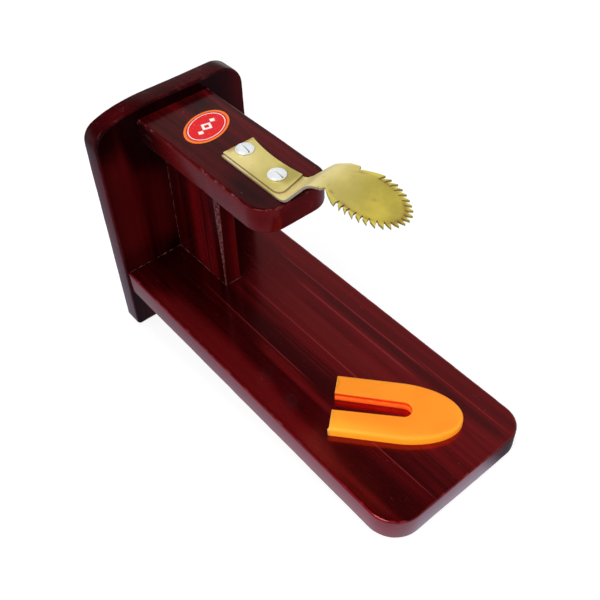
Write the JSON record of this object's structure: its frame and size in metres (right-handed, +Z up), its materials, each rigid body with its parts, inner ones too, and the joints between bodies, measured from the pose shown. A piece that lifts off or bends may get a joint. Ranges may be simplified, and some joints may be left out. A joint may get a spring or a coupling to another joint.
{
  "type": "counter-top coconut scraper",
  "caption": "Wooden coconut scraper that hooks over a counter edge, with a toothed brass blade bolted to its arm and a slip-on blade guard lying on the base.",
  "frame": {"origin": "on the line where the underside of the base meets the front face of the hanging lip, half way across, where the counter's edge comes", "axes": "+X along the base from the lip to the rounded front end, +Z up out of the counter, +Y across"},
  "size_m": [0.2915, 0.1176, 0.2062],
  "materials": {
    "stained_wood": "dark red-brown stain under gloss varnish, darker and lighter grain streaks",
    "brass": "satin sheet brass, lightly mottled",
    "zinc_steel": "bright zinc plating",
    "guard_plastic": "soft satin orange moulding",
    "label_film": "glossy printed film, red with an orange rim"
  },
  "bodies": {
    "stand": {"base_board": "stained_wood", "back_board": "stained_wood", "support_post": "stained_wood", "arm_board": "stained_wood", "scraper_blade": "brass", "blade_cover_plate": "brass", "oval_label": "label_film", "rear_blade_bolt": "zinc_steel", "rear_blade_washer": "zinc_steel", "rear_blade_nut": "zinc_steel", "front_blade_bolt": "zinc_steel", "front_blade_washer": "zinc_steel", "front_blade_nut": "zinc_steel", "base_screw_1": "zinc_steel", "base_screw_2": "zinc_steel", "base_screw_3": "zinc_steel", "base_screw_4": "zinc_steel", "arm_screw_near": "zinc_steel", "arm_screw_far": "zinc_steel", "post_screw_lower": "zinc_steel", "post_screw_upper": "zinc_steel", "foot_screw_rear": "zinc_steel", "foot_screw_front": "zinc_steel"},
    "guard": {"blade_guard": "guard_plastic"}
  },
  "joints": [
    {"name": "guard_lift", "type": "slide", "parent": "stand", "child": "guard", "axis": [0, 0, 1], "range_m": [0, 0.12]}
  ]
}
